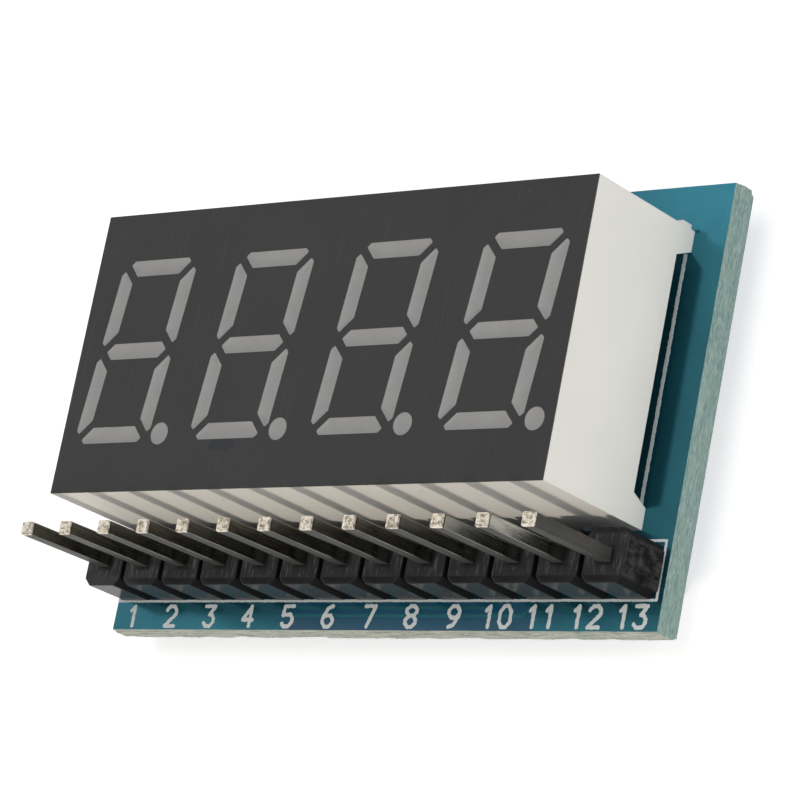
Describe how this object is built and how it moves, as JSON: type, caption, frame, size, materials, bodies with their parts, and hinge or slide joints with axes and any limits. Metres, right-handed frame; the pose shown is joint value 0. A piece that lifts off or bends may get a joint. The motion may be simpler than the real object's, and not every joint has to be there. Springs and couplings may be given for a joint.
{
  "type": "seven segment display module",
  "caption": "Seven segment LED numeral display on a small driver board with a straight pin header for power, digit select and segment lines.",
  "frame": {"origin": "below the middle of the board, on the plane that the soldered tails stand on", "axes": "+Z out of the display face, +X along the row of digits from first to last, +Y towards the tops of the digits"},
  "size_m": [0.0334, 0.021, 0.0111],
  "materials": {
    "solder_mask_board": "satin teal solder mask over fibreglass",
    "header_plastic": "moulded black thermoplastic",
    "solder": "bright tin solder",
    "white_shell": "moulded white, satin",
    "mask_film": "dark printed film",
    "inner_board": "bare fibreglass",
    "potting": "cast milky epoxy",
    "die": "chip with gold contact",
    "tinned_lead": "tinned steel wire",
    "resistor_glaze": "black glaze",
    "tinned_end": "tin plated",
    "transistor_resin": "moulded epoxy",
    "pin_metal": "drawn tin plated brass",
    "lens_epoxy": "milky grey epoxy"
  },
  "bodies": {
    "root": {"module_board": "solder_mask_board", "header_body": "header_plastic", "header_solder": "solder", "display_housing": "white_shell", "face_mask": "mask_film", "display_board": "inner_board", "rear_epoxy": "potting", "led_dies": "die", "display_leads": "tinned_lead", "display_solder": "solder", "resistor_bodies": "resistor_glaze", "resistor_ends": "tinned_end", "transistor_bodies": "transistor_resin", "transistor_leads": "tinned_end", "header_pin_1": "pin_metal", "header_pin_2": "pin_metal", "header_pin_3": "pin_metal", "header_pin_4": "pin_metal", "header_pin_5": "pin_metal", "header_pin_6": "pin_metal", "header_pin_7": "pin_metal", "header_pin_8": "pin_metal", "header_pin_9": "pin_metal", "header_pin_10": "pin_metal", "header_pin_11": "pin_metal", "header_pin_12": "pin_metal", "header_pin_13": "pin_metal", "digit_1_segment_a": "lens_epoxy", "digit_1_segment_b": "lens_epoxy", "digit_1_segment_c": "lens_epoxy", "digit_1_segment_d": "lens_epoxy", "digit_1_segment_e": "lens_epoxy", "digit_1_segment_f": "lens_epoxy", "digit_1_segment_g": "lens_epoxy", "digit_1_segment_dp": "lens_epoxy", "digit_2_segment_a": "lens_epoxy", "digit_2_segment_b": "lens_epoxy", "digit_2_segment_c": "lens_epoxy", "digit_2_segment_d": "lens_epoxy", "digit_2_segment_e": "lens_epoxy", "digit_2_segment_f": "lens_epoxy", "digit_2_segment_g": "lens_epoxy", "digit_2_segment_dp": "lens_epoxy", "digit_3_segment_a": "lens_epoxy", "digit_3_segment_b": "lens_epoxy", "digit_3_segment_c": "lens_epoxy", "digit_3_segment_d": "lens_epoxy", "digit_3_segment_e": "lens_epoxy", "digit_3_segment_f": "lens_epoxy", "digit_3_segment_g": "lens_epoxy", "digit_3_segment_dp": "lens_epoxy", "digit_4_segment_a": "lens_epoxy", "digit_4_segment_b": "lens_epoxy", "digit_4_segment_c": "lens_epoxy", "digit_4_segment_d": "lens_epoxy", "digit_4_segment_e": "lens_epoxy", "digit_4_segment_f": "lens_epoxy", "digit_4_segment_g": "lens_epoxy", "digit_4_segment_dp": "lens_epoxy"}
  },
  "joints": []
}
